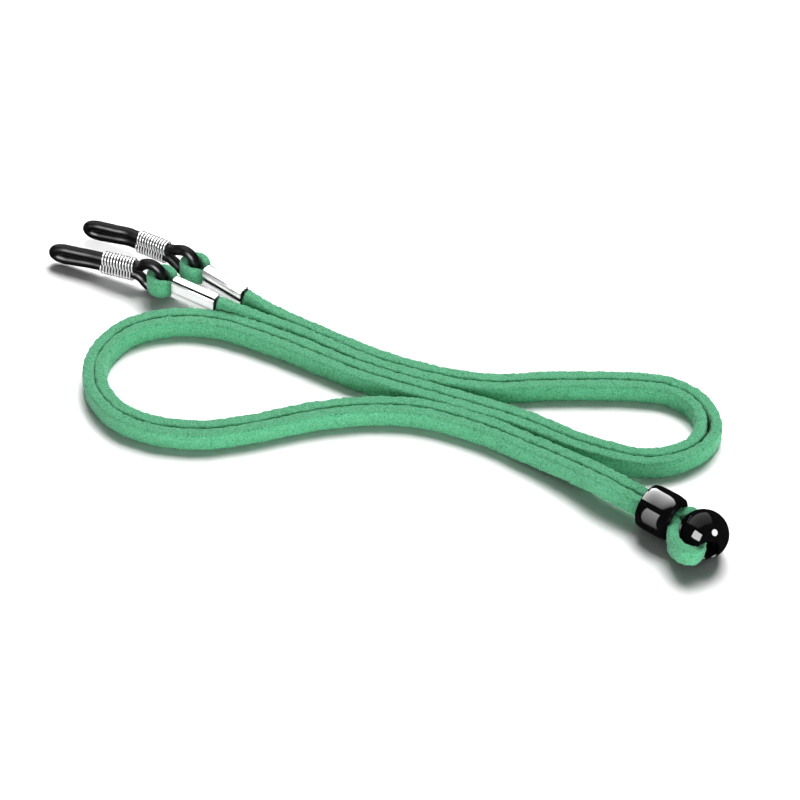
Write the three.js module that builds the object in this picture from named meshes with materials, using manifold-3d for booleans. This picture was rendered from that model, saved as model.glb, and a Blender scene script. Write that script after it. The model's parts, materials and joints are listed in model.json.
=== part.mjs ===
// Eyeglasses strap: a flat suede cord folded in half, with a ball bead threaded on its middle, a barrel
// bead that slides over both runs, and at each end a metal ferrule, a rubber temple loop and a coil spring.
// Millimetres, +Z up. The strap lies on z = 0, and the origin is under the middle of the hard pieces.
import * as THREE from "three";
import { mergeVertices } from "three/addons/utils/BufferGeometryUtils.js";
import Module from "manifold-3d";

const wasm = await Module();
wasm.setup();

// Strap
const STRAP_WIDTH = 3.3; // on edge, so this stands upright
const STRAP_THICKNESS = 1.5;
const HALF_PITCH = 0.98; // from the middle of the pair to the middle of a run
const LYING = 1.7; // height of the strap's middle where it lies on its edge
const THREADED = 3.6; // height of the strap's middle inside the beads

// Beads
const BARREL = { radius: 3.7, length: 5.9, bore: 2.6, edge: 0.8, mouth: 0.25 };
const BALL = { radius: 3.9, bore: 2.4, mouth: 0.4 };
const BALL_CENTRE = new THREE.Vector3(51.6, -35.5, BALL.radius); // both beads rest on the surface
const BALL_BORE_HEADING = THREE.MathUtils.degToRad(-84);
const PAIR_HEADING = THREE.MathUtils.degToRad(-37.3); // of the two runs where they pass the barrel
const BARREL_TO_BALL = 7.8;

// Ends: each crossbar is the origin of its fitting, +X towards the rubber loop's tip
const CROSSBAR_HEIGHT = 3.7;
const RUBBER_RADIUS = 0.85;
const LEG_HALF_GAP = 0.87; // the two legs lie one on the other through the spring
const DROOP = 0.075; // fall of the rubber per millimetre, beyond the strap's fold
const COIL = { start: 0.2, length: 6.2, turns: 11, wire: 0.19, halfWidth: 1.23, sides: 6, stepsPerTurn: 12 };
const LEGS_LENGTH = 8.6; // the spring can slide almost to their far end
const FERRULE = { start: 2.5, length: 8.3, halfHeight: 2.0, halfThickness: 1.15, wall: 0.3, corner: 0.8, slit: 0.35 };
const FOLD = { outer: 2.65, inner: 1.2, wrap: 1.85, tail: 0.2, pressed: 0.75, width: 3.0 };
const LEFT = {
  crossbar: [-35.3, 22.3],
  ferruleHeading: 150.7,
  ferrulePitch: 3.4,
  coilHeading: 156.5,
  legsStart: 5.4,
  eyeSkew: 9.5,
  lobeSkew: 3.5,
  tip: 15.7,
  slitHeight: 1.35,
};
const RIGHT = {
  crossbar: [-29.9, 25.4],
  ferruleHeading: 142.8,
  ferrulePitch: 3.4,
  coilHeading: 145.5,
  legsStart: 6.3,
  eyeSkew: 7.3,
  lobeSkew: 13,
  tip: 16.4,
  slitHeight: -0.75,
};

const { degToRad, radToDeg } = THREE.MathUtils;
const suede = new THREE.MeshStandardMaterial({ color: 0x4fae7d, roughness: 0.95, metalness: 0 });
const rubber = new THREE.MeshStandardMaterial({ color: 0x101010, roughness: 0.45, metalness: 0 });
const chrome = new THREE.MeshStandardMaterial({ color: 0xe4e4e6, roughness: 0.12, metalness: 1 });
const bead = new THREE.MeshStandardMaterial({ color: 0x060606, roughness: 0.08, metalness: 0 });

function named(name, geometry, material) {
  const mesh = new THREE.Mesh(geometry, material);
  mesh.name = name;
  return mesh;
}

// ---- Booleans ----
function toSolid(geometry) {
  const bare = geometry.clone();
  bare.deleteAttribute("normal");
  bare.deleteAttribute("uv");
  const merged = mergeVertices(bare, 1e-4);
  return new wasm.Manifold(
    new wasm.Mesh({
      numProp: 3,
      vertProperties: new Float32Array(merged.attributes.position.array),
      triVerts: new Uint32Array(merged.index.array),
    }),
  );
}

function toGeometry(solid) {
  const { vertProperties, triVerts } = solid.getMesh();
  return new THREE.BufferGeometry()
    .setAttribute("position", new THREE.BufferAttribute(vertProperties, 3))
    .setIndex(new THREE.BufferAttribute(triVerts, 1));
}

// ---- Strap ----
// The middle line between the two runs, from where they join beside the ferrules to the barrel: through the
// centre, round the right loop, back through the centre, round the left loop and through it a third time.
// Each point is x, y, then the height where the strap is lifted and half the pitch where the runs part.
const MIDDLE = [
  [-11.7, 11.9],
  [3.3, 3.3],
  [17.9, -1.2],
  [31.0, -0.9],
  [44.0, -1.2],
  [49.3, -2.4],
  [53.3, -6.0],
  [54.4, -11.6, LYING, 1.25],
  [51.6, -15.9],
  [44.8, -18.3],
  [35.2, -15.6],
  [24.2, -9.5],
  [11.4, -4.1],
  [-1.7, 1.4],
  [-15.0, 8.9],
  [-26.0, 13.7],
  [-34.2, 14.0],
  [-40.6, 11.4],
  [-44.7, 5.4],
  [-44.7, -1.4],
  [-41.1, -7.4],
  [-35.3, -10.8],
  [-27.0, -12.1],
  [-20.0, -11.0],
  [-6.4, -7.4],
  [6.5, -6.9],
  [17.7, -10.8],
  [26.3, -16.1, 2.1],
  [33.5, -21.4, 3.0],
];
// Distances from the barrel's middle of the points on the straight, level stretch that it slides along
const STRAIGHT = [-12, -9, 0, 2, 3.1];
// Round the ball, from one run to the other through its bore
const BALL_LOOP = [
  [46.8, -35.45],
  [46.9, -37.3],
  [47.9, -39.0],
  [49.4, -39.7],
  [50.6, -39.1],
  [51.0, -37.9],
  [51.1, -35.5],
  [51.0, -33.4],
  [50.6, -32.1],
  [49.8, -31.4],
];
const LEFT_TAIL = [-18.1, 13.8, 2.0];
const RIGHT_TAIL = [-16.4, 15.75, 2.0];

const pairDirection = new THREE.Vector3(Math.cos(PAIR_HEADING), Math.sin(PAIR_HEADING), 0);
const barrelCentre = BALL_CENTRE.clone().addScaledVector(pairDirection, -BARREL_TO_BALL).setZ(BARREL.radius);

function fittingTurn(end) {
  return new THREE.Euler(0, degToRad(-end.ferrulePitch), degToRad(end.ferruleHeading), "ZYX");
}

class StrapRoute extends THREE.CatmullRomCurve3 {
  // One ring of the strap for each point of its route, so a tight bend has as many as it needs.
  getUtoTmapping(u) {
    return u;
  }
}

function strapEnd(end) {
  const toCrossbar = new THREE.Vector3(FERRULE.start + FERRULE.length + 0.3, 0, 0);
  toCrossbar.applyEuler(fittingTurn(end));
  return new THREE.Vector3(...end.crossbar, CROSSBAR_HEIGHT).sub(toCrossbar);
}

function run(side) {
  const rows = MIDDLE.map(([x, y, z = LYING, half = HALF_PITCH]) => ({ at: new THREE.Vector3(x, y, z), half }));
  for (const s of STRAIGHT)
    rows.push({
      at: barrelCentre.clone().addScaledVector(pairDirection, s).setZ(THREADED),
      half: HALF_PITCH,
    });
  const middle = new THREE.CatmullRomCurve3(rows.map((row) => row.at));
  return rows.map(({ at, half }, i) => {
    const along = middle.getTangent(i / (rows.length - 1));
    return at.clone().add(new THREE.Vector3(-along.y, along.x, 0).setLength(side * half));
  });
}

function strapGeometry() {
  const point = ([x, y, z = THREADED]) => new THREE.Vector3(x, y, z);
  const route = new StrapRoute([
    strapEnd(LEFT),
    point(LEFT_TAIL),
    ...run(-1),
    ...BALL_LOOP.map(point),
    ...run(1).reverse(),
    point(RIGHT_TAIL),
    strapEnd(RIGHT),
  ]);
  const w = STRAP_WIDTH / 2;
  const t = STRAP_THICKNESS / 2;
  const cut = 0.3; // corners taken off the section
  const corners = [
    [w, t - cut],
    [w - cut, t],
    [cut - w, t],
    [-w, t - cut],
    [-w, cut - t],
    [cut - w, -t],
    [w - cut, -t],
    [w, cut - t],
  ];
  const section = new THREE.Shape(corners.map(([x, y]) => new THREE.Vector2(x, y)));
  return new THREE.ExtrudeGeometry(section, { steps: route.points.length - 1, extrudePath: route });
}

// ---- Beads: turned about the bore, which starts along +Y ----
function turned(profile, segments) {
  return new THREE.LatheGeometry(profile.map(([r, y]) => new THREE.Vector2(r, y)), segments);
}

function arc(cx, cy, radius, from, to, steps) {
  return Array.from({ length: steps + 1 }, (_, i) => {
    const angle = degToRad(from + ((to - from) * i) / steps);
    return [cx + radius * Math.cos(angle), cy + radius * Math.sin(angle)];
  });
}

function barrelGeometry() {
  const { radius, length, bore, edge, mouth } = BARREL;
  const half = length / 2;
  const profile = [
    [bore, half - mouth],
    [bore, mouth - half],
    [bore + mouth, -half],
    ...arc(radius - edge, edge - half, edge, -90, -15, 4),
    [radius, 0],
    ...arc(radius - edge, half - edge, edge, 15, 90, 4),
    [bore + mouth, half],
    [bore, half - mouth],
  ];
  return turned(profile, 28);
}

function ballGeometry() {
  const { radius, bore, mouth } = BALL;
  const rim = Math.acos((bore + mouth) / radius);
  const rimHeight = radius * Math.sin(rim);
  const profile = [
    [bore, rimHeight - mouth],
    [bore, mouth - rimHeight],
    ...arc(0, 0, radius, radToDeg(-rim), radToDeg(rim), 14),
    [bore, rimHeight - mouth],
  ];
  return turned(profile, 30);
}

function placeBead(mesh, centre, heading) {
  mesh.rotation.set(0, 0, heading - Math.PI / 2);
  mesh.position.copy(centre);
  return mesh;
}

// ---- Ends ----
// A rectangle with round corners, x up and y across
function roundedSlab(halfHeight, halfThickness, corner, path = new THREE.Shape()) {
  const x = halfHeight - corner;
  const y = halfThickness - corner;
  path.absarc(x, y, corner, 0, Math.PI / 2, false);
  path.absarc(-x, y, corner, Math.PI / 2, Math.PI, false);
  path.absarc(-x, -y, corner, Math.PI, 1.5 * Math.PI, false);
  path.absarc(x, -y, corner, 1.5 * Math.PI, 2 * Math.PI, false);
  path.closePath();
  return path;
}

// Sheet metal rolled round the two layers of the folded strap, with its open seam along one side
function ferruleGeometry(slitHeight) {
  const { start, length, halfHeight, halfThickness, wall, corner, slit } = FERRULE;
  const sleeve = roundedSlab(halfHeight, halfThickness, corner);
  sleeve.holes.push(roundedSlab(halfHeight - wall, halfThickness - wall, 0.2, new THREE.Path()));
  const tube = new THREE.ExtrudeGeometry(sleeve, { depth: length, bevelEnabled: false, curveSegments: 3 });
  tube.rotateY(-Math.PI / 2).translate(-start, 0, 0);
  const seam = new THREE.BoxGeometry(length + 2, 3 * wall, slit);
  seam.translate(-start - length / 2, halfThickness, slitHeight);
  return toGeometry(toSolid(tube).subtract(toSolid(seam)));
}

// The strap's end, folded round the crossbar and pressed flat inside the ferrule
function endLoopGeometry() {
  const { outer, inner, wrap, tail, pressed, width } = FOLD;
  const back = -(FERRULE.start + FERRULE.length - tail);
  const from = { x: outer * Math.cos(wrap), y: outer * Math.sin(wrap) };
  const plan = new THREE.Shape();
  plan.moveTo(back, -pressed);
  plan.lineTo(-FERRULE.start, -pressed);
  plan.bezierCurveTo(-2.0, -1.0, -1.6, -2.25, from.x, -from.y);
  plan.absarc(0, 0, outer, -wrap, wrap, false);
  plan.bezierCurveTo(-1.6, 2.25, -2.0, 1.0, -FERRULE.start, pressed);
  plan.lineTo(back, pressed);
  plan.closePath();
  const eye = new THREE.Path();
  eye.moveTo(-1.7, 0);
  eye.lineTo(inner * Math.cos(wrap), -inner * Math.sin(wrap));
  eye.absarc(0, 0, inner, -wrap, wrap, false);
  eye.closePath();
  plan.holes.push(eye);
  const fold = new THREE.ExtrudeGeometry(plan, { depth: width, bevelEnabled: false, curveSegments: 9 });
  return fold.translate(0, 0, -width / 2);
}

// How far the rubber's line lies to the side of the crossbar, and how far it has dropped
function rubberLine(end, x) {
  const eye = Math.tan(degToRad(end.eyeSkew));
  const lobe = Math.tan(degToRad(end.lobeSkew));
  const side = lobe * Math.max(0, x - end.legsStart - LEGS_LENGTH) - eye * Math.min(x, end.legsStart);
  return { y: side, z: -DROOP * Math.max(0, x - FOLD.outer) };
}

// An endless rubber ring: a tall eye round the strap's fold, two legs side by side, and a slim lobe at the tip
function rubberLoopGeometry(end) {
  const eye = [
    [0, 1.6],
    [0.7, 2.45],
    [2.0, 2.7],
    [3.4, 2.3],
  ];
  const beyond = [
    [-0.9, 1.3],
    [0, 0.91],
    [0.8, LEG_HALF_GAP],
    [3.6, LEG_HALF_GAP],
    [7.1, LEG_HALF_GAP],
    [LEGS_LENGTH, LEG_HALF_GAP],
    [end.tip - 5.4, 0.97],
    [end.tip - 3.4, 1.08],
    [end.tip - 1.4, 1.0],
    [end.tip - 0.3, 0.55],
  ];
  const upper = [...eye, ...beyond.map(([x, height]) => [end.legsStart + x, height])];
  const lower = upper.map(([x, height]) => [x, -height]).reverse();
  const points = [[0, 0], ...upper, [end.legsStart + end.tip, 0], ...lower].map(([x, height]) => {
    const line = rubberLine(end, x);
    return new THREE.Vector3(x, line.y, line.z + height);
  });
  return new THREE.TubeGeometry(new THREE.CatmullRomCurve3(points, true), 72, RUBBER_RADIUS, 10, true);
}

class CoilPath extends THREE.Curve {
  constructor(end) {
    super();
    this.end = end;
  }
  getPoint(t) {
    const angle = 2 * Math.PI * COIL.turns * t;
    const x = this.end.legsStart + COIL.start + COIL.length * t;
    const line = rubberLine(this.end, x);
    const lift = THREE.MathUtils.clamp(2.5 * Math.sin(angle), -1, 1) * LEG_HALF_GAP;
    return new THREE.Vector3(
      x,
      line.y + COIL.halfWidth * Math.cos(angle),
      line.z + COIL.halfWidth * Math.sin(angle) + lift,
    );
  }
}

function coilGeometry(end) {
  const wire = new THREE.Shape(
    Array.from({ length: COIL.sides }, (_, i) => {
      const angle = (2 * Math.PI * i) / COIL.sides;
      return new THREE.Vector2(COIL.wire * Math.cos(angle), COIL.wire * Math.sin(angle));
    }),
  );
  return new THREE.ExtrudeGeometry(wire, {
    steps: COIL.turns * COIL.stepsPerTurn,
    extrudePath: new CoilPath(end),
  });
}

function fitting(name, end) {
  const group = new THREE.Group();
  group.position.set(end.crossbar[0], end.crossbar[1], CROSSBAR_HEIGHT);
  const held = new THREE.Group();
  held.rotation.copy(fittingTurn(end));
  held.add(named(name + "_ferrule", ferruleGeometry(end.slitHeight), chrome));
  held.add(named(name + "_end_loop", endLoopGeometry(), suede));
  const swinging = new THREE.Group();
  swinging.rotation.z = degToRad(end.coilHeading);
  swinging.add(named(name + "_rubber_loop", rubberLoopGeometry(end), rubber));
  swinging.add(named(name + "_coil_spring", coilGeometry(end), chrome));
  group.add(held, swinging);
  return group;
}

const strapAssembly = new THREE.Group();
strapAssembly.add(
  named("strap", strapGeometry(), suede),
  placeBead(named("barrel_bead", barrelGeometry(), bead), barrelCentre, PAIR_HEADING),
  placeBead(named("ball_bead", ballGeometry(), bead), BALL_CENTRE, BALL_BORE_HEADING),
  fitting("left", LEFT),
  fitting("right", RIGHT),
);

export default strapAssembly;
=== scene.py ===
# %% [markdown]
# # A suede eyeglasses strap
# The strap is a flat suede cord, folded in half. Its fold goes through a ball bead, a barrel bead slides on
# both runs, and each end is crimped in a metal ferrule round a rubber loop that grips the glasses. The hard
# pieces come from the fixed frame, which also says where everything is and what moves with what.

# %% Load the fixed frame
import json
import math

import bmesh
import bpy
import numpy as np
from mathutils import Euler, Matrix, Vector


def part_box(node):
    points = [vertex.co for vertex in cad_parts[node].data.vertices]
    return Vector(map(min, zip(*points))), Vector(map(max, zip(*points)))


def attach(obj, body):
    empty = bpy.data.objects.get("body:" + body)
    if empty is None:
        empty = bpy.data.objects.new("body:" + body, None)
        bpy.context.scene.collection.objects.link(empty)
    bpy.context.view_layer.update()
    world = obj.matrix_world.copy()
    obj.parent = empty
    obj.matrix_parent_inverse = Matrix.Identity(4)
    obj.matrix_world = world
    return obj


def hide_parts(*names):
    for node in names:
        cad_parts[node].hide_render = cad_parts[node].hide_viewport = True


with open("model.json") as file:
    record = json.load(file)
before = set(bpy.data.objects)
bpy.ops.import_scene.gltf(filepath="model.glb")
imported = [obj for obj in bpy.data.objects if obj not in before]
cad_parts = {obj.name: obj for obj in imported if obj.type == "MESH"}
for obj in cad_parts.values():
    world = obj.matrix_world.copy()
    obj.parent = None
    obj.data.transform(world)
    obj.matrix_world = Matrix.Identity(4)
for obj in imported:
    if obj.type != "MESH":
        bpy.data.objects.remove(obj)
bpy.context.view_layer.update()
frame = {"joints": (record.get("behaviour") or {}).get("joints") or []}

MM = 0.001
joints = {joint["name"]: joint for joint in frame["joints"]}

# %% [markdown]
# ## The camera
# The strap is seen from 45 degrees up, through a long lens that keeps its lines nearly parallel, as a
# product picture does. The camera comes first, because the cord's spread is judged by what it sees.

# %% Camera
VIEW_ELEVATION = math.radians(45)
VIEW_DISTANCE = 0.4336
LOOK_AT = Vector((0.0049, -0.0041, 0.00165))

back = Vector((0, -math.cos(VIEW_ELEVATION), math.sin(VIEW_ELEVATION)))
bpy.ops.object.camera_add(location=LOOK_AT + back * VIEW_DISTANCE, rotation=(VIEW_ELEVATION, 0, 0))
camera = bpy.context.object
camera.name = "camera"
camera.data.lens = 120
camera.data.sensor_width = 36
camera.data.clip_start = 0.01
bpy.context.scene.camera = camera
bpy.context.scene.view_settings.view_transform = "Standard"
print("camera at", [round(v, 4) for v in camera.location])

# %% [markdown]
# ## The cord's route
# A cord has a fixed length, so its route is settled before its looks. The two runs lie side by side, on
# edge, so one middle line gives both: each run is that line, moved sideways by half the pitch. The list
# starts beside the ferrules, goes round the right loop, the left loop and back to the barrel bead. Round the
# ball the single strap has points of its own. The spline is a centripetal Catmull-Rom one, which passes
# through every point and never makes a loop of its own between two close ones.

# %% Route points, in millimetres
LYING = 1.7  # height of the strap's middle where it lies on its edge
HALF_PITCH = 0.98
THREADED = 3.6  # and inside the beads
MIDDLE = [
    (-11.7, 11.9), (3.3, 3.3), (17.9, -1.2), (31.0, -0.9), (44.0, -1.2), (49.3, -2.4), (53.3, -6.0),
    (54.4, -11.6, LYING, 1.25), (51.6, -15.9), (44.8, -18.3), (35.2, -15.6), (24.2, -9.5), (11.4, -4.1),
    (-1.7, 1.4), (-15.0, 8.9), (-26.0, 13.7), (-34.2, 14.0), (-40.6, 11.4), (-44.7, 5.4), (-44.7, -1.4),
    (-41.1, -7.4), (-35.3, -10.8), (-27.0, -12.1), (-20.0, -11.0), (-6.4, -7.4), (6.5, -6.9),
    (17.7, -10.8), (26.3, -16.1, 2.1), (33.5, -21.4, 3.0),
]
STRAIGHT = (-12, -9, 0, 2, 3.1)  # distances from the barrel's middle along the level stretch it slides on
BALL_LOOP = [
    (46.8, -35.45), (46.9, -37.3), (47.9, -39.0), (49.4, -39.7), (50.6, -39.1), (51.0, -37.9),
    (51.1, -35.5), (51.0, -33.4), (50.6, -32.1), (49.8, -31.4),
]
TAILS = {"left": (-18.1, 13.8, 2.0), "right": (-16.4, 15.75, 2.0)}
FERRULE = {"start": 2.5, "length": 8.3}
ENDS = {
    "left": {"ferrule_heading": 150.7, "heading": 156.5, "legs_start": 5.4, "eye_skew": 9.5, "lobe_skew": 3.5,
             "tip": 15.7},
    "right": {"ferrule_heading": 142.8, "heading": 145.5, "legs_start": 6.3, "eye_skew": 7.3, "lobe_skew": 13.0,
              "tip": 16.4},
}
FERRULE_PITCH = 3.4
for side, end in ENDS.items():
    end["crossbar"] = Vector(joints[side + "_loop_swing"]["pos_m"]) / MM
    end["turn"] = Euler(
        (0, math.radians(-FERRULE_PITCH), math.radians(end["ferrule_heading"])), "XYZ"
    ).to_matrix()
print("crossbars in mm", {side: [round(v, 1) for v in end["crossbar"]] for side, end in ENDS.items()})


# %% Spline through the points
def smooth_line(points, per_span):
    """A centripetal Catmull-Rom spline through the points, with per_span steps between each two."""
    points = np.asarray(points, float)
    points = np.vstack([2 * points[0] - points[1], points, 2 * points[-1] - points[-2]])
    line = []
    for a, b, c, d in zip(points, points[1:], points[2:], points[3:]):
        knots = np.cumsum([0] + [np.linalg.norm(q - p) ** 0.5 for p, q in ((a, b), (b, c), (c, d))])
        t = np.linspace(knots[1], knots[2], per_span, endpoint=False)[:, None]

        def between(p, q, start, stop):
            return (stop - t) / (stop - start) * p + (t - start) / (stop - start) * q

        pairs = enumerate(((a, b), (b, c), (c, d)))
        ab, bc, cd = (between(p, q, knots[i], knots[i + 1]) for i, (p, q) in pairs)
        line.append(between(between(ab, bc, knots[0], knots[2]), between(bc, cd, knots[1], knots[3]),
                            knots[1], knots[2]))
    return np.vstack(line + [points[-2][None]])


def evenly(line, step):
    """The same line with points a step apart."""
    along = np.concatenate([[0], np.cumsum(np.linalg.norm(np.diff(line, axis=0), axis=1))])
    at = np.linspace(0, along[-1], round(along[-1] / step) + 1)
    return np.stack([np.interp(at, along, line[:, i]) for i in range(3)], axis=1)


# %% The whole route of the strap
pair_heading = math.atan2(joints["barrel_slide"]["axis"][1], joints["barrel_slide"]["axis"][0])
pair_direction = np.array([math.cos(pair_heading), math.sin(pair_heading), 0])
barrel_centre = sum(np.array(corner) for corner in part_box("barrel_bead")) / 2 / MM


def run_beside_middle(side):
    rows = [(x, y, *(rest or (LYING,)))[:3] for x, y, *rest in MIDDLE]
    halves = [row[3] if len(row) > 3 else HALF_PITCH for row in MIDDLE]
    rows += [(*(barrel_centre + pair_direction * s)[:2], THREADED) for s in STRAIGHT]
    halves += [HALF_PITCH] * len(STRAIGHT)
    fine = smooth_line(rows, 20)
    at = np.arange(len(rows)) * 20
    along = fine[np.minimum(at + 1, len(fine) - 1)] - fine[np.maximum(at - 1, 0)]
    sideways = np.stack([-along[:, 1], along[:, 0]], axis=1)
    sideways /= np.linalg.norm(sideways, axis=1)[:, None]
    moved = np.array(rows)
    moved[:, :2] += sideways * side * np.array(halves)[:, None]
    return moved.tolist()


def ferrule_mouth(end):
    return list(end["crossbar"] - end["turn"] @ Vector((FERRULE["start"] + FERRULE["length"] + 0.3, 0, 0)))


route = (
    [ferrule_mouth(ENDS["left"]), TAILS["left"]]
    + run_beside_middle(-1)
    + [(x, y, THREADED) for x, y in BALL_LOOP]
    + run_beside_middle(1)[::-1]
    + [TAILS["right"], ferrule_mouth(ENDS["right"])]
)
STEP = 0.27
centreline = evenly(smooth_line(route, 30), STEP)

# %% [markdown]
# ## The strap
# A flat suede cord is a strip of microfibre with soft corners and a raised nap. Sweeping its section along
# the route gives the strip. The nap then moves every point of the surface a little, in or out, so that even
# the outline looks brushed. The same helper makes the folded ends later, so they match.

# %% Section and nap
STRAP_WIDTH, STRAP_THICKNESS, STRAP_CORNER = 3.38, 1.87, 0.42
STRAP_NAP, FOLD_NAP = 0.075, 0.03  # how far the nap moves the surface
nap_seed = np.random.default_rng(7)


def rounded_section(width, thickness, corner, per_corner=4, along_width=8, along_thickness=3):
    """Points round a flat cord's section: upright first, then across."""
    section = []
    for sx, sy, start in ((1, 1, 0), (-1, 1, 90), (-1, -1, 180), (1, -1, 270)):
        cx, cy = sx * (width / 2 - corner), sy * (thickness / 2 - corner)
        for i in range(per_corner + 1):
            angle = math.radians(start + 90 * i / per_corner)
            section.append((cx + corner * math.cos(angle), cy + corner * math.sin(angle)))
        straight = along_width if sx * sy > 0 else along_thickness
        ahead = section[-1]
        step = (width - 2 * corner) if sx * sy > 0 else (thickness - 2 * corner)
        direction = {0: (-1, 0), 90: (0, -1), 180: (1, 0), 270: (0, 1)}[start]
        for i in range(1, straight):
            section.append((ahead[0] + direction[0] * step * i / straight,
                            ahead[1] + direction[1] * step * i / straight))
    return np.array(section)


def nap_heights(rows, columns, depth):
    """Random heights with bumps a few points wide, closed round the section."""
    heights = nap_seed.normal(size=(rows, columns))
    soft = sum(np.roll(heights, shift, axis=1) for shift in (-1, 0, 1))
    soft = soft + np.roll(soft, 1, axis=0) + np.roll(soft, -1, axis=0)
    return depth * (0.5 * soft / 3 + 0.5 * heights)


def swept_strip(name, line, section, depth, squeeze=1.0):
    """A mesh of the section swept along the line, upright, with closed ends and its own UV map. Squeeze
    scales the section, where the strap is pinched by the beads."""
    along = np.gradient(line, axis=0)
    along /= np.linalg.norm(along, axis=1)[:, None]
    across = np.cross([0, 0, 1], along)
    across /= np.linalg.norm(across, axis=1)[:, None]
    upright = np.cross(along, across)
    rows, columns = len(line), len(section)
    squares = section.max(axis=0) ** 2
    outward = section / np.linalg.norm(section / squares, axis=1)[:, None] / squares
    heights = nap_heights(rows, columns, depth)
    place = section[None] * np.broadcast_to(squeeze, rows)[:, None, None] + outward[None] * heights[..., None]
    grid = line[:, None] + place[..., :1] * upright[:, None] + place[..., 1:] * across[:, None]
    i, j = np.meshgrid(np.arange(rows - 1), np.arange(columns), indexing="ij")
    k = (j + 1) % columns
    quads = np.stack([i * columns + j, (i + 1) * columns + j, (i + 1) * columns + k, i * columns + k], axis=-1)
    faces = quads.reshape(-1, 4)[:, ::-1].tolist()
    faces += [list(range(columns))[::-1], [(rows - 1) * columns + c for c in range(columns)]]
    mesh = bpy.data.meshes.new(name)
    mesh.from_pydata((grid.reshape(-1, 3) * MM).tolist(), [], faces)
    piece = bpy.data.objects.new(name, mesh)
    bpy.context.collection.objects.link(piece)
    around = np.arange(columns + 1) / columns
    uv = mesh.uv_layers.new(name="UVMap").data
    corner_rows = np.stack([i, i + 1, i + 1, i], axis=-1).reshape(-1, 4)[:, ::-1]
    corner_columns = np.stack([j, j, j + 1, j + 1], axis=-1).reshape(-1, 4)[:, ::-1]
    coordinates = np.stack([corner_rows * STEP / 10, around[corner_columns]], axis=-1).reshape(-1)
    flat = np.zeros(2 * len(mesh.loops))
    flat[: len(coordinates)] = coordinates
    uv.foreach_set("uv", flat)
    mesh.polygons.foreach_set("use_smooth", [True] * len(mesh.polygons))
    mesh.update()
    return piece


def face_outwards(piece):
    work = bmesh.new()
    work.from_mesh(piece.data)
    bmesh.ops.recalc_face_normals(work, faces=work.faces)
    if work.calc_volume(signed=True) < 0:
        bmesh.ops.reverse_faces(work, faces=work.faces)
    work.to_mesh(piece.data)
    work.free()


# %% Sweep the strap
section = rounded_section(STRAP_WIDTH, STRAP_THICKNESS, STRAP_CORNER)
to_ball = np.linalg.norm(centreline - np.array(joints["ball_spin"]["pos_m"]) / MM, axis=1)
squeeze = 1 - 0.2 * np.clip((5.2 - to_ball) / 1.6, 0, 1) - 0.05 * np.clip((13 - to_ball) / 3, 0, 1)
strap = swept_strip("suede_strap", centreline, section, STRAP_NAP, squeeze)
face_outwards(strap)
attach(strap, "strap_and_ferrules")
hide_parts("strap")
strap.visible_glossy = False  # its green would show as a stain in the plating
print("strap", len(strap.data.polygons), "faces, section of", len(section), "points")

# %% [markdown]
# ## Helpers for pieces made by hand
# The other pieces start as primitives and are shaped in edit mode. Each is made in its own simple frame, and
# its place is then put into its mesh, so that every finished piece sits at the origin.


# %% Helpers
def only(piece):
    """Selects this piece alone and makes it active."""
    bpy.ops.object.select_all(action="DESELECT")
    piece.select_set(True)
    bpy.context.view_layer.objects.active = piece
    return piece


def fresh(name):
    """Names the primitive that was just added."""
    piece = bpy.context.object
    piece.name = piece.data.name = name
    return piece


def select_where(piece, kind, test):
    """In edit mode, selects just the vertices, edges or faces that pass the test."""
    bpy.ops.mesh.select_mode(type={"verts": "VERT", "edges": "EDGE", "faces": "FACE"}[kind])
    bpy.ops.mesh.select_all(action="DESELECT")
    work = bmesh.from_edit_mesh(piece.data)
    chosen = [item for item in getattr(work, kind) if test(item)]
    for item in chosen:
        item.select_set(True)
    work.select_flush_mode()
    bmesh.update_edit_mesh(piece.data)
    return len(chosen)


def apply_modifiers(piece):
    only(piece)
    for modifier in list(piece.modifiers):
        bpy.ops.object.modifier_apply(modifier=modifier.name)


def set_down(piece, matrix):
    """Puts a place and turn into the mesh, and leaves the object at the origin."""
    piece.data.transform(matrix)
    piece.data.update()
    piece.matrix_world = Matrix.Identity(4)
    return piece


def place_of(point_mm, heading_degrees, pitch_degrees=0.0):
    turn = Euler((0, math.radians(-pitch_degrees), math.radians(heading_degrees)), "XYZ").to_matrix().to_4x4()
    return Matrix.Translation(Vector(point_mm) * MM) @ turn


# %% [markdown]
# ## The ball bead
# A glossy moulded ball with a wide round bore. It starts as a sphere with its poles on the bore's axis. The
# caps are cut off, their rims are extruded inwards to the bore, and bridging the two rings makes the bore.

# %% Ball bead
bpy.ops.object.select_all(action="DESELECT")
BALL_RADIUS, BALL_BORE = 3.9, 1.75
bpy.ops.mesh.primitive_uv_sphere_add(segments=64, ring_count=48, radius=BALL_RADIUS * MM)
ball = fresh("ball_bead_gloss")
bpy.ops.object.mode_set(mode="EDIT")
cut = math.sqrt(BALL_RADIUS**2 - (BALL_BORE + 0.22) ** 2) * MM
for sign in (-1, 1):
    bpy.ops.mesh.select_all(action="SELECT")
    bpy.ops.mesh.bisect(plane_co=(0, 0, sign * cut), plane_no=(0, 0, sign), clear_outer=True)
for sign in (-1, 1):
    select_where(ball, "edges", lambda edge: edge.is_boundary and edge.verts[0].co.z * sign > cut * 0.99)
    for scale, sink in ((0.95, 0.06), (0.964, 0.14), (0.984, 0.3)):
        bpy.ops.mesh.extrude_region_move(TRANSFORM_OT_translate={"value": (0, 0, -sign * sink * MM)})
        bpy.ops.transform.resize(value=(scale, scale, 1))
select_where(ball, "edges", lambda edge: edge.is_boundary)
bpy.ops.mesh.bridge_edge_loops(number_cuts=6)
bpy.ops.mesh.select_all(action="SELECT")
bpy.ops.mesh.normals_make_consistent(inside=False)
bpy.ops.object.mode_set(mode="OBJECT")
bpy.ops.object.shade_smooth_by_angle(angle=math.radians(50))
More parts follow.
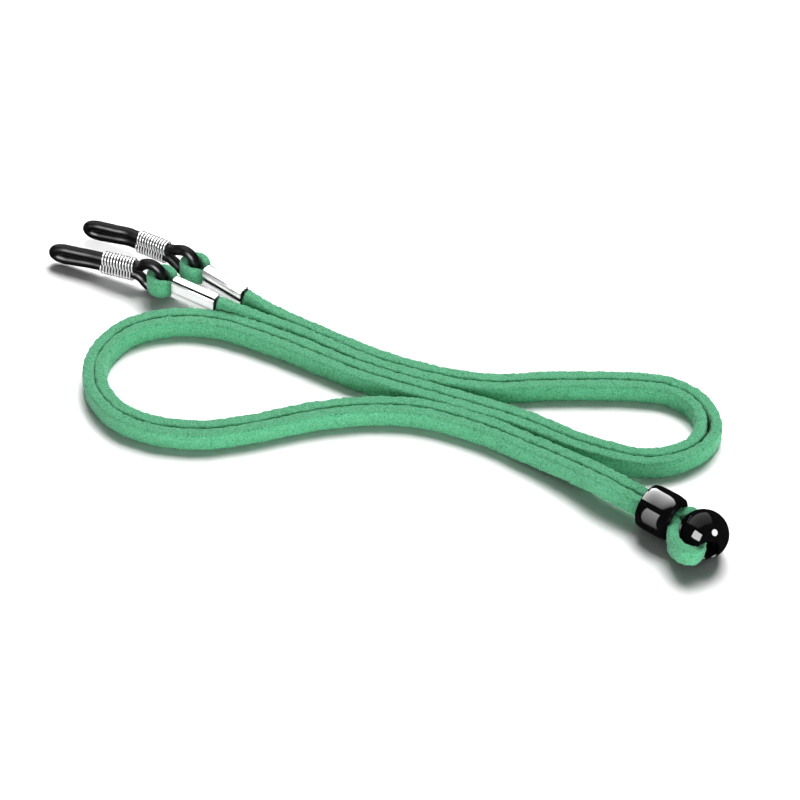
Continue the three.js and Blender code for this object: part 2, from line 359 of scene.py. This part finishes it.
ball_centre = Vector(joints["ball_spin"]["pos_m"])
bore_axis = Vector(joints["ball_spin"]["axis"])
set_down(ball, Matrix.Translation(ball_centre) @ bore_axis.to_track_quat("Z", "Y").to_matrix().to_4x4())
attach(ball, "ball")
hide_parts("ball_bead")
print("ball", len(ball.data.polygons), "faces")

# %% [markdown]
# ## The barrel bead
# A short thick tube that narrows towards its rounded ends. It starts as a cylinder along the pair of runs.
# Its ends are inset to the bore and bridged, then the rims are bevelled.

# %% Barrel bead
bpy.ops.object.select_all(action="DESELECT")
BARREL_RADIUS, BARREL_LENGTH, BARREL_BORE, BARREL_SWELL = 3.7, 5.95, 2.42, 0.42
BARREL_EDGE, BARREL_MOUTH = 0.62, 0.2  # how round its outer rims and its bore's rims are
bpy.ops.mesh.primitive_cylinder_add(vertices=72, radius=BARREL_RADIUS * MM, depth=BARREL_LENGTH * MM)
barrel = fresh("barrel_bead_gloss")
bpy.ops.object.mode_set(mode="EDIT")
select_where(barrel, "edges", lambda edge: abs(edge.verts[0].co.z - edge.verts[1].co.z) > 1 * MM)
bpy.ops.mesh.subdivide(number_cuts=15)
for vertex in bmesh.from_edit_mesh(barrel.data).verts:
    vertex.co.xy *= 1 - BARREL_SWELL / BARREL_RADIUS * (2 * vertex.co.z / (BARREL_LENGTH * MM)) ** 4
bmesh.update_edit_mesh(barrel.data)
select_where(barrel, "faces", lambda face: abs(face.normal.z) > 0.9)
bpy.ops.mesh.inset(thickness=(BARREL_RADIUS - BARREL_SWELL - BARREL_BORE) * MM, use_individual=True)
select_where(barrel, "faces", lambda face: len(face.verts) > 4)
bpy.ops.mesh.bridge_edge_loops()
select_where(barrel, "edges", lambda edge: abs(edge.verts[0].co.z - edge.verts[1].co.z) < 1e-7
             and abs(edge.verts[0].co.z) > 0.49 * BARREL_LENGTH * MM
             and min(vertex.co.xy.length for vertex in edge.verts) > (BARREL_RADIUS - BARREL_SWELL - 0.02) * MM)
bpy.ops.mesh.bevel(offset=BARREL_EDGE * MM, segments=10, affect="EDGES")
select_where(barrel, "edges", lambda edge: abs(edge.verts[0].co.z - edge.verts[1].co.z) < 1e-7
             and edge.verts[0].co.xy.length < (BARREL_BORE + 0.1) * MM
             and edge.verts[1].co.xy.length < (BARREL_BORE + 0.1) * MM)
bpy.ops.mesh.bevel(offset=BARREL_MOUTH * MM, segments=4, affect="EDGES")
bpy.ops.mesh.select_all(action="SELECT")
bpy.ops.mesh.normals_make_consistent(inside=False)
bpy.ops.object.mode_set(mode="OBJECT")
bpy.ops.object.shade_smooth_by_angle(angle=math.radians(40))
pair_turn = Vector(joints["barrel_slide"]["axis"]).to_track_quat("Z", "Y").to_matrix().to_4x4()
set_down(barrel, Matrix.Translation(Vector(barrel_centre) * MM) @ pair_turn)
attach(barrel, "barrel")
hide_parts("barrel_bead")
print("barrel", len(barrel.data.polygons), "faces")

# %% [markdown]
# ## The ferrules
# Each is a strip of plated sheet, rolled and pressed flat round the strap's two layers. A block gives the
# pressed shape: its long edges are rounded, its ends are opened, a thin band is cut out along one side for
# the seam, and Solidify then gives the sheet its thickness. An attribute keeps the distance round the
# section, so that dark reflection streaks painted into the plating's colour can run along it.

# %% Ferrules
FERRULE_HALF_HEIGHT, FERRULE_HALF_THICKNESS, FERRULE_CORNER, FERRULE_SHEET = 2.0, 1.15, 0.8, 0.28
SEAMS = {"left": (1.89, 0.2), "right": (0.1, 0.85)}  # height and width of the open seam
AROUND_FROM = {"left": 0.0, "right": 10.0}  # where the distance round each section starts, for its painted reflection streaks


def make_ferrule(side):
    end = ENDS[side]
    bpy.ops.object.select_all(action="DESELECT")
    bpy.ops.mesh.primitive_cube_add(size=1)
    ferrule = fresh(side + "_ferrule_sheet")
    bpy.ops.object.mode_set(mode="EDIT")
    size = Vector((FERRULE["length"], 2 * FERRULE_HALF_THICKNESS, 2 * FERRULE_HALF_HEIGHT)) * MM
    bpy.ops.transform.resize(value=size)
    bpy.ops.transform.translate(value=(-(FERRULE["start"] + FERRULE["length"] / 2) * MM, 0, 0))
    select_where(ferrule, "edges", lambda edge: abs(edge.verts[0].co.x - edge.verts[1].co.x) > 1 * MM)
    bpy.ops.mesh.bevel(offset=FERRULE_CORNER * MM, segments=8, affect="EDGES")
    select_where(ferrule, "faces", lambda face: abs(face.normal.x) > 0.9)
    bpy.ops.mesh.delete(type="ONLY_FACE")
    height, gap = SEAMS[side]
    bpy.ops.mesh.select_all(action="SELECT")
    for edge_height in (height - gap / 2, height + gap / 2):
        bpy.ops.mesh.select_all(action="SELECT")
        bpy.ops.mesh.bisect(plane_co=(0, 0, edge_height * MM), plane_no=(0, 0, 1))
    select_where(ferrule, "faces", lambda face: face.calc_center_median().y > 0.2 * MM
                 and abs(face.calc_center_median().z - height * MM) < gap / 2 * MM)
    bpy.ops.mesh.delete(type="FACE")
    bpy.ops.object.mode_set(mode="OBJECT")
    wall = ferrule.modifiers.new("sheet", "SOLIDIFY")
    wall.thickness, wall.offset, wall.use_even_offset = FERRULE_SHEET * MM, -1, True
    rim = ferrule.modifiers.new("rims", "BEVEL")
    rim.width, rim.segments, rim.limit_method, rim.angle_limit = 0.06 * MM, 2, "ANGLE", math.radians(50)
    apply_modifiers(ferrule)
    bpy.ops.object.shade_smooth_by_angle(angle=math.radians(40))
    around = [(vertex.co.z - vertex.co.y) / MM + FERRULE_HALF_THICKNESS + AROUND_FROM[side]
              for vertex in ferrule.data.vertices]
    ferrule.data.attributes.new("around", "FLOAT", "POINT").data.foreach_set("value", around)
    set_down(ferrule, place_of(end["crossbar"], end["ferrule_heading"], FERRULE_PITCH))
    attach(ferrule, "strap_and_ferrules")
    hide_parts(side + "_ferrule")
    print(ferrule.name, len(ferrule.data.polygons), "faces")
    return ferrule


ferrules = [make_ferrule(side) for side in ENDS]

# %% [markdown]
# ## The strap's folded ends
# The strap comes out of each ferrule, goes round the rubber loop and back in. In plan that is a tight loop of
# the same strip, so the same sweep makes it, with the same nap. Inside the ferrule it is crimped thin, and an
# attribute marks that part, where the shade inside the ferrule is painted into the suede's colour as
# near-black.

# %% Folded ends
FOLD = {"middle": 1.96, "half_wrap": 106, "pressed": 0.32}
FOLD_THICKNESS = 1.35


def fold_line():
    back = FERRULE["start"] + FERRULE["length"] - 0.4
    arc = [(FOLD["middle"] * math.cos(math.radians(a)), FOLD["middle"] * math.sin(math.radians(a)))
           for a in np.linspace(-FOLD["half_wrap"], FOLD["half_wrap"], 9)]
    pinch = [(-back, FOLD["pressed"]), (-6.0, FOLD["pressed"]), (-3.4, FOLD["pressed"]), (-2.3, 0.62),
             (-1.55, 1.25)]
    points = [(x, -y, 0) for x, y in pinch] + [(x, y, 0) for x, y in arc] + [(x, y, 0) for x, y in pinch[::-1]]
    return evenly(smooth_line(points, 12), 0.22)


def make_folded_end(side):
    line = fold_line()
    thickness = np.where(line[:, 0] < -FERRULE["start"] + 0.4, 0.6 / FOLD_THICKNESS, 1.0)
    thickness = np.convolve(np.pad(thickness, 4, mode="edge"), np.ones(9) / 9, mode="valid")
    strip = rounded_section(STRAP_WIDTH - 0.1, FOLD_THICKNESS, 0.4)
    piece = swept_strip(side + "_folded_end", line, strip, FOLD_NAP)
    columns = len(strip)
    for i, (centre, factor) in enumerate(zip(line, thickness)):
        for vertex in piece.data.vertices[i * columns:(i + 1) * columns]:
            flat = Vector((centre[0] * MM, centre[1] * MM, vertex.co.z))
            vertex.co = flat + (vertex.co - flat) * factor
            vertex.co.z *= 0.55 + 0.45 * factor
    face_outwards(piece)
    # how strongly the shade inside the ferrule is painted into the suede, most where the strap is crimped
    # thinnest
    crimped = np.zeros(len(piece.data.vertices))
    crimped[: len(line) * columns] = np.repeat((1 - thickness) / (1 - thickness.min()), columns)
    piece.data.attributes.new("crimped", "FLOAT", "POINT").data.foreach_set("value", crimped)
    end = ENDS[side]
    set_down(piece, place_of(end["crossbar"], end["ferrule_heading"], FERRULE_PITCH))
    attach(piece, "strap_and_ferrules")
    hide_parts(side + "_end_loop")
    print(piece.name, len(piece.data.polygons), "faces")
    return piece


folded_ends = [make_folded_end(side) for side in ENDS]

# %% [markdown]
# ## The rubber loops
# Each is one endless ring of round rubber, pinched by the coil spring. Next to the strap it makes a tall eye,
# and beyond the spring a slim lobe. A closed curve with a round bevel follows that shape smoothly.

# %% Rubber loops
RUBBER_RADIUS, LEG_HALF_GAP, LEGS_LENGTH, DROOP, FOLD_REACH = 0.93, 0.94, 8.6, 0.075, 2.65
EYE = [(0, 1.6), (0.7, 2.45), (2.0, 2.7), (3.4, 2.2)]
LEGS = [(-0.9, 1.25), (0, 0.97), (0.8, 0.94), (3.6, 0.94), (7.1, 0.94), (8.6, 0.94)]
LOBE = [(-5.4, 0.96), (-3.4, 1.02), (-1.4, 0.98), (-0.3, 0.55), (0, 0)]  # measured back from the tip


def rubber_line(end, x):
    """How far the rubber lies to the side of the crossbar, and how far it has dropped, at x along it."""
    eye, lobe = (math.tan(math.radians(end[skew])) for skew in ("eye_skew", "lobe_skew"))
    aside = lobe * max(0, x - end["legs_start"] - LEGS_LENGTH) - eye * min(x, end["legs_start"])
    return aside, -DROOP * max(0, x - FOLD_REACH)


def make_rubber_loop(side):
    end = ENDS[side]
    beyond = LEGS + [(end["tip"] + x, height) for x, height in LOBE]
    upper = EYE + [(end["legs_start"] + x, height) for x, height in beyond]
    ring = [(0, 0)] + upper + [(x, -height) for x, height in upper[-2::-1]]
    bpy.ops.object.select_all(action="DESELECT")
    bpy.ops.curve.primitive_bezier_circle_add(radius=MM)
    rubber = fresh(side + "_rubber_ring")
    spline = rubber.data.splines[0]
    spline.bezier_points.add(len(ring) - len(spline.bezier_points))
    for point, (x, height) in zip(spline.bezier_points, ring):
        aside, drop = rubber_line(end, x)
        point.co = Vector((x, aside, drop + height)) * MM
        point.handle_left_type = point.handle_right_type = "AUTO"
    rubber.data.dimensions = "3D"
    rubber.data.resolution_u = 12
    rubber.data.bevel_depth = RUBBER_RADIUS * MM
    rubber.data.bevel_resolution = 6
    bpy.ops.object.convert(target="MESH")
    bpy.ops.object.shade_smooth()
    face_outwards(rubber)
    set_down(rubber, place_of(end["crossbar"], end["heading"]))
    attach(rubber, side + "_rubber")
    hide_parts(side + "_rubber_loop")
    print(rubber.name, len(rubber.data.polygons), "faces")
    return rubber


rubbers = [make_rubber_loop(side) for side in ENDS]

# %% [markdown]
# ## The coil springs
# A close winding of bright wire holds the two legs of each rubber loop together. A small circle turned by the
# Screw modifier makes a round winding. Its upper half is then raised and its lower half lowered, which gives
# the long oval that fits round two legs, one on the other.

# %% Coil springs
COIL = {"start": 0.2, "length": 6.2, "turns": 11, "wire": 0.15, "half_width": 1.2}
WAIST, WAIST_HEIGHT = 0.26, 0.4  # how much, and over what height, the wire dips in between the two legs


def make_coil(side):
    end = ENDS[side]
    bpy.ops.object.select_all(action="DESELECT")
    bpy.ops.mesh.primitive_circle_add(vertices=10, radius=COIL["wire"] * MM, rotation=(math.pi / 2, 0, 0),
                                      location=(COIL["half_width"] * MM, 0, 0))
    coil = fresh(side + "_spring_wire")
    bpy.ops.object.transform_apply()
    winding = coil.modifiers.new("winding", "SCREW")
    winding.axis, winding.angle, winding.iterations = "Z", math.tau, COIL["turns"]
    winding.screw_offset = COIL["length"] / COIL["turns"] * MM
    winding.steps = winding.render_steps = 40
    apply_modifiers(coil)
    bpy.ops.object.mode_set(mode="EDIT")
    for sign in (-1, 1):
        select_where(coil, "edges", lambda edge: edge.is_boundary
                     and (edge.verts[0].co.z - COIL["length"] / 2 * MM) * sign > 0)
        bpy.ops.mesh.edge_face_add()
    bpy.ops.object.mode_set(mode="OBJECT")
    for vertex in coil.data.vertices:
        sideways, upward, ahead = vertex.co.x, vertex.co.y, vertex.co.z
        lift = max(-1, min(1, 2.5 * upward / (COIL["half_width"] * MM))) * LEG_HALF_GAP * MM
        x = (end["legs_start"] + COIL["start"]) * MM + ahead
        aside, drop = rubber_line(end, x / MM)
        waist = 1 - WAIST * math.exp(-(((upward + lift) / (WAIST_HEIGHT * MM)) ** 2))
        vertex.co = (x, aside * MM + sideways * waist, drop * MM + upward + lift)
    face_outwards(coil)
    only(coil)
    bpy.ops.object.shade_smooth()
    set_down(coil, place_of(end["crossbar"], end["heading"]))
    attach(coil, side + "_coil")
    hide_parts(side + "_coil_spring")
    print(coil.name, len(coil.data.polygons), "faces")
    return coil


coils = [make_coil(side) for side in ENDS]

# %% [markdown]
# ## Finishes
# Every finish is procedural. The two main effects are node groups: a brushed nap for suede, and fine handling
# marks, which all four hard finishes share.


# %% Node helpers
def new_group(name, inputs, outputs):
    group = bpy.data.node_groups.new(name, "ShaderNodeTree")
    for label, kind, value in inputs:
        socket = group.interface.new_socket(label, in_out="INPUT", socket_type=kind)
        socket.default_value = value
    for label, kind in outputs:
        group.interface.new_socket(label, in_out="OUTPUT", socket_type=kind)
    return group, group.nodes.new("NodeGroupInput"), group.nodes.new("NodeGroupOutput")


def add(tree, kind, **settings):
    node = tree.nodes.new(kind)
    for name, value in settings.items():
        if name in node.inputs:
            node.inputs[name].default_value = value
        else:
            setattr(node, name, value)
    return node


def noise_of(tree, vector, scale, detail=3.0, roughness=0.55):
    node = add(tree, "ShaderNodeTexNoise", Scale=scale, Detail=detail, Roughness=roughness)
    tree.links.new(vector, node.inputs["Vector"])
    return node.outputs["Fac"]


def ramp(tree, value, low, high):
    node = add(tree, "ShaderNodeMapRange")
    node.inputs["From Min"].default_value, node.inputs["From Max"].default_value = low, high
    tree.links.new(value, node.inputs["Value"])
    return node.outputs["Result"]


def blend_colours(tree, factor, first, second, mode="MIX"):
    node = add(tree, "ShaderNodeMix", data_type="RGBA", blend_type=mode)
    for value, socket in ((factor, 0), (first, 6), (second, 7)):
        if isinstance(value, bpy.types.NodeSocket):
            tree.links.new(value, node.inputs[socket])
        else:
            node.inputs[socket].default_value = value
    return node.outputs[2]


def new_material(name):
    material = bpy.data.materials.new(name)
    material.use_nodes = True
    tree = material.node_tree
    return material, tree, tree.nodes["Principled BSDF"], tree.nodes.new("ShaderNodeTexCoord").outputs["Object"]


def give(material, pieces):
    for piece in pieces:
        piece.data.materials.clear()
        piece.data.materials.append(material)


# %% Suede nap group
nap, nap_in, nap_out = new_group(
    "suede_nap",
    [("Vector", "NodeSocketVector", (0, 0, 0)), ("Light", "NodeSocketColor", (0.3, 0.8, 0.5, 1)),
     ("Middle", "NodeSocketColor", (0.2, 0.6, 0.4, 1)), ("Dark", "NodeSocketColor", (0.1, 0.3, 0.2, 1))],
    [("Colour", "NodeSocketColor"), ("Height", "NodeSocketFloat")],
)
vector = nap_in.outputs["Vector"]
tufts = noise_of(nap, vector, 4400, 2)
fibres = noise_of(nap, vector, 8000, 3)
brushed = noise_of(nap, vector, 500, 3)
lighter = blend_colours(nap, ramp(nap, tufts, 0.46, 0.64), nap_in.outputs["Middle"], nap_in.outputs["Light"])
shaded = blend_colours(nap, ramp(nap, tufts, 0.47, 0.32), lighter, nap_in.outputs["Dark"])
streaked = blend_colours(nap, ramp(nap, brushed, 0.35, 0.75), shaded, nap_in.outputs["Light"])
soft = add(nap, "ShaderNodeMix", data_type="RGBA")
soft.inputs[0].default_value = 0.3
nap.links.new(shaded, soft.inputs[6])
nap.links.new(streaked, soft.inputs[7])
nap.links.new(soft.outputs[2], nap_out.inputs["Colour"])
height = add(nap, "ShaderNodeMath", operation="MULTIPLY_ADD")
nap.links.new(fibres, height.inputs[0])
height.inputs[1].default_value = 0.5
nap.links.new(tufts, height.inputs[2])
nap.links.new(height.outputs[0], nap_out.inputs["Height"])
print("nap group with", len(nap.nodes), "nodes")

# %% Suede
suede, tree, principled, place = new_material("green_suede")
nap_node = add(tree, "ShaderNodeGroup", node_tree=nap)
tree.links.new(place, nap_node.inputs["Vector"])
nap_node.inputs["Light"].default_value = (0.135, 0.50, 0.265, 1)
nap_node.inputs["Middle"].default_value = (0.083, 0.385, 0.195, 1)
nap_node.inputs["Dark"].default_value = (0.035, 0.21, 0.1, 1)
# painted shade: the suede's colour goes near-black where it lies inside the ferrules
crimped = add(tree, "ShaderNodeAttribute", attribute_name="crimped")
colour = blend_colours(tree, crimped.outputs["Fac"], nap_node.outputs["Colour"], (0.002, 0.004, 0.003, 1))
tree.links.new(colour, principled.inputs["Base Color"])
principled.inputs["Roughness"].default_value = 0.95
principled.inputs["Specular IOR Level"].default_value = 0.15
principled.inputs["Sheen Weight"].default_value = 0.35
principled.inputs["Sheen Roughness"].default_value = 0.45
principled.inputs["Sheen Tint"].default_value = (0.7, 1.0, 0.85, 1)
bump = add(tree, "ShaderNodeBump", Strength=0.8, Distance=0.0001)
tree.links.new(nap_node.outputs["Height"], bump.inputs["Height"])
tree.links.new(bump.outputs["Normal"], principled.inputs["Normal"])
give(suede, [strap] + folded_ends)
print("suede on", 1 + len(folded_ends), "pieces")

# %% Handling marks group
marks, marks_in, marks_out = new_group(
    "handling_marks",
    [("Vector", "NodeSocketVector", (0, 0, 0)), ("Smooth", "NodeSocketFloat", 0.05),
     ("Worn", "NodeSocketFloat", 0.2), ("Grain", "NodeSocketFloat", 1500.0)],
    [("Roughness", "NodeSocketFloat"), ("Height", "NodeSocketFloat")],
)
smudges = noise_of(marks, marks_in.outputs["Vector"], 260, 4)
grain = add(marks, "ShaderNodeTexNoise", Detail=2.0)
marks.links.new(marks_in.outputs["Vector"], grain.inputs["Vector"])
marks.links.new(marks_in.outputs["Grain"], grain.inputs["Scale"])
worn = add(marks, "ShaderNodeMapRange")
worn.inputs["From Min"].default_value, worn.inputs["From Max"].default_value = 0.45, 0.8
marks.links.new(smudges, worn.inputs["Value"])
marks.links.new(marks_in.outputs["Smooth"], worn.inputs["To Min"])
marks.links.new(marks_in.outputs["Worn"], worn.inputs["To Max"])
marks.links.new(worn.outputs["Result"], marks_out.inputs["Roughness"])
marks.links.new(grain.outputs["Fac"], marks_out.inputs["Height"])
print("marks group with", len(marks.nodes), "nodes")


# %% Hard finishes
def hard_finish(name, colour, smooth, worn, grain, depth, metallic=0.0):
    material, tree, principled, place = new_material(name)
    node = add(tree, "ShaderNodeGroup", node_tree=marks)
    tree.links.new(place, node.inputs["Vector"])
    node.inputs["Smooth"].default_value = smooth
    node.inputs["Worn"].default_value = worn
    node.inputs["Grain"].default_value = grain
    tint = blend_colours(tree, noise_of(tree, place, 900, 3), (*colour, 1), (*[c * 0.8 for c in colour], 1))
    tree.links.new(tint, principled.inputs["Base Color"])
    tree.links.new(node.outputs["Roughness"], principled.inputs["Roughness"])
    principled.inputs["Metallic"].default_value = metallic
    bump = add(tree, "ShaderNodeBump", Strength=depth, Distance=0.00002)
    tree.links.new(node.outputs["Height"], bump.inputs["Height"])
    tree.links.new(bump.outputs["Normal"], principled.inputs["Normal"])
    return material


chrome = hard_finish("bright_plating", (0.95, 0.95, 0.955), 0.14, 0.24, 2400, 0.03, metallic=0.5)
wire = hard_finish("spring_wire", (0.95, 0.95, 0.955), 0.12, 0.22, 3000, 0.05, metallic=0.65)
rubber = hard_finish("satin_rubber", (0.004, 0.004, 0.0045), 0.3, 0.4, 3500, 0.2)
gloss = hard_finish("gloss_black", (0.004, 0.004, 0.0045), 0.03, 0.09, 1200, 0.02)

# Dark streaks along the sheet are reflections painted into the plating's colour. Each row is a streak's place
# round the section, its half width and its depth.
PAINTED_REFLECTIONS = [(-0.35, 0.42, 0.5), (-1.75, 0.12, 0.4), (1.1, 0.12, 0.15), (11.55, 0.6, 0.45), (13.2, 0.2, 0.96),
           (13.85, 0.12, 0.85), (8.9, 0.14, 0.6), (9.4, 0.3, 0.2)]
tree = chrome.node_tree
principled = tree.nodes["Principled BSDF"]
plain = principled.inputs["Base Color"].links[0].from_socket
around = add(tree, "ShaderNodeAttribute", attribute_name="around").outputs["Fac"]
# each streak darkens the plating's colour towards black, as a painted dark reflection
for reflection_place, half_width, depth in PAINTED_REFLECTIONS:
    offset = add(tree, "ShaderNodeMath", operation="SUBTRACT")
    tree.links.new(around, offset.inputs[0])
    offset.inputs[1].default_value = reflection_place
    distance = add(tree, "ShaderNodeMath", operation="ABSOLUTE")
    tree.links.new(offset.outputs[0], distance.inputs[0])
    mask = add(tree, "ShaderNodeMapRange", interpolation_type="SMOOTHSTEP")
    tree.links.new(distance.outputs[0], mask.inputs["Value"])
    for name, value in (("From Min", 0.0), ("From Max", half_width), ("To Min", depth), ("To Max", 0.0)):
        mask.inputs[name].default_value = value
    plain = blend_colours(tree, mask.outputs["Result"], plain, (0.02, 0.02, 0.022, 1))
tree.links.new(plain, principled.inputs["Base Color"])
give(chrome, ferrules)
give(wire, coils)
give(rubber, rubbers)
give(gloss, [ball, barrel])
print("hard finishes on", len(ferrules + coils + rubbers) + 2, "pieces")

# %% [markdown]
# ## The studio
# The strap lies on a white sweep under soft boxes. Two of them light it: a key from behind and above, which
# casts the soft shadows towards the camera, and a fill from the front. The others only shine in the gloss: a
# sheet above, square windows at the front left, a small round one at the right and a card beside the metal.
# Black flags keep each to its own pieces. The far rubber loop's shadow is flagged off the floor too.

# %% Floor
bpy.ops.object.select_all(action="DESELECT")
bpy.ops.mesh.primitive_plane_add(size=3)
floor = fresh("floor")
white = bpy.data.materials.new("white_sweep")
white.use_nodes = True
white.node_tree.nodes["Principled BSDF"].inputs["Base Color"].default_value = (0.9, 0.9, 0.9, 1)
white.node_tree.nodes["Principled BSDF"].inputs["Roughness"].default_value = 0.9
white.node_tree.nodes["Principled BSDF"].inputs["Specular IOR Level"].default_value = 0.0
give(white, [floor])
floor.visible_glossy = False
floor.visible_shadow = False


# %% Soft boxes
def flags(name, pieces, state):
    """A collection that includes or excludes these pieces, for a light to be linked to."""
    linked = bpy.data.collections.new(name)
    for piece in pieces:
        linked.objects.link(piece)
    for member in linked.collection_objects:
        member.light_linking.link_state = state
    return linked


def soft_box(name, direction, distance, size, power, shape="RECTANGLE", shines=True, lights=True, fade=None,
             on=(), not_on=(), around=LOOK_AT, past=()):
    """An area light that faces one point. fade=(low, high) dims it from one edge to the other, on and not_on
    say which pieces it falls on, and past names pieces that cast no shadow in it, as flags do in a studio."""
    direction = Vector(direction).normalized()
    at = around + direction * distance
    bpy.ops.object.light_add(type="AREA", location=at, rotation=direction.to_track_quat("Z", "Y").to_euler())
    light = bpy.context.object
    light.name = light.data.name = name
    light.data.shape = shape
    light.data.size, light.data.size_y = size
    light.data.energy = power
    light.visible_glossy, light.visible_diffuse, light.visible_camera = shines, lights, False
    if on or not_on:
        light.light_linking.receiver_collection = flags(name + "_flags", on or not_on,
                                                        "INCLUDE" if on else "EXCLUDE")
    if past:
        light.light_linking.blocker_collection = flags(name + "_passed", past, "EXCLUDE")
    if fade:
        light.data.use_nodes = True
        nodes, links = light.data.node_tree.nodes, light.data.node_tree.links
        across = nodes.new("ShaderNodeSeparateXYZ")
        strength = nodes.new("ShaderNodeMapRange")
        strength.inputs["To Min"].default_value, strength.inputs["To Max"].default_value = fade
        links.new(nodes.new("ShaderNodeNewGeometry").outputs["Parametric"], across.inputs[0])
        links.new(across.outputs["Y"], strength.inputs["Value"])
        links.new(strength.outputs["Result"], nodes["Emission"].inputs["Strength"])
    return light


KEY = (0.14, 0.62, 0.77)
KEY_ON_FLOOR = (0.13, 0.55, 0.82)
SHEET = (-0.22, 0.53, 0.80)
barrel_place = Vector(barrel_centre) * MM
soft_box("key_behind", KEY, 0.8, (0.6, 0.45), 7.0, shines=False)
soft_box("key_on_floor", KEY_ON_FLOOR, 0.8, (0.5, 0.4), 7.0, shines=False, on=[floor],
         past=[rubbers[1], coils[1]])
soft_box("fill_front", (0.3, -0.9, 0.22), 0.8, (0.9, 0.4), 6.4, shines=False, not_on=[floor])
soft_box("sheet_behind", SHEET, 0.42, (0.6, 0.62), 9.0, lights=False, fade=(2.2, 0.1), around=barrel_place,
         not_on=[ball] + rubbers)
soft_box("sheet_dimmed", SHEET, 0.42, (0.66, 0.62), 1.5, lights=False, fade=(0.9, 0.25), around=ball_centre,
         on=[ball] + rubbers)
soft_box("window_left", (-0.63, -0.61, 0.49), 0.4, (0.3, 0.25), 3.3, lights=False, around=ball_centre,
         not_on=[barrel])
soft_box("tall_window", (-0.852, -0.519, -0.05), 0.4, (0.09, 0.6), 0.55, lights=False, fade=(0.2, 2.0),
         around=barrel_place, on=[barrel])
soft_box("round_right", (0.69, -0.4, 0.6), 0.4, (0.2, 0.2), 2.3, shape="DISK", lights=False,
         around=ball_centre, on=[ball])
soft_box("card_below", (-0.87, 0.01, -0.49), 0.0815, (0.13, 0.11), 0.06, lights=False, on=ferrules + coils)

world = bpy.data.worlds.new("studio")
bpy.context.scene.world = world
world.use_nodes = True
sky = world.node_tree
background = sky.nodes["Background"]
background.inputs["Color"].default_value = (1, 1, 1, 1)
light_path = sky.nodes.new("ShaderNodeLightPath")
amount = sky.nodes.new("ShaderNodeMapRange")
amount.inputs["To Min"].default_value, amount.inputs["To Max"].default_value = 0.12, 0.01
sky.links.new(light_path.outputs["Is Glossy Ray"], amount.inputs["Value"])
sky.links.new(amount.outputs["Result"], background.inputs["Strength"])
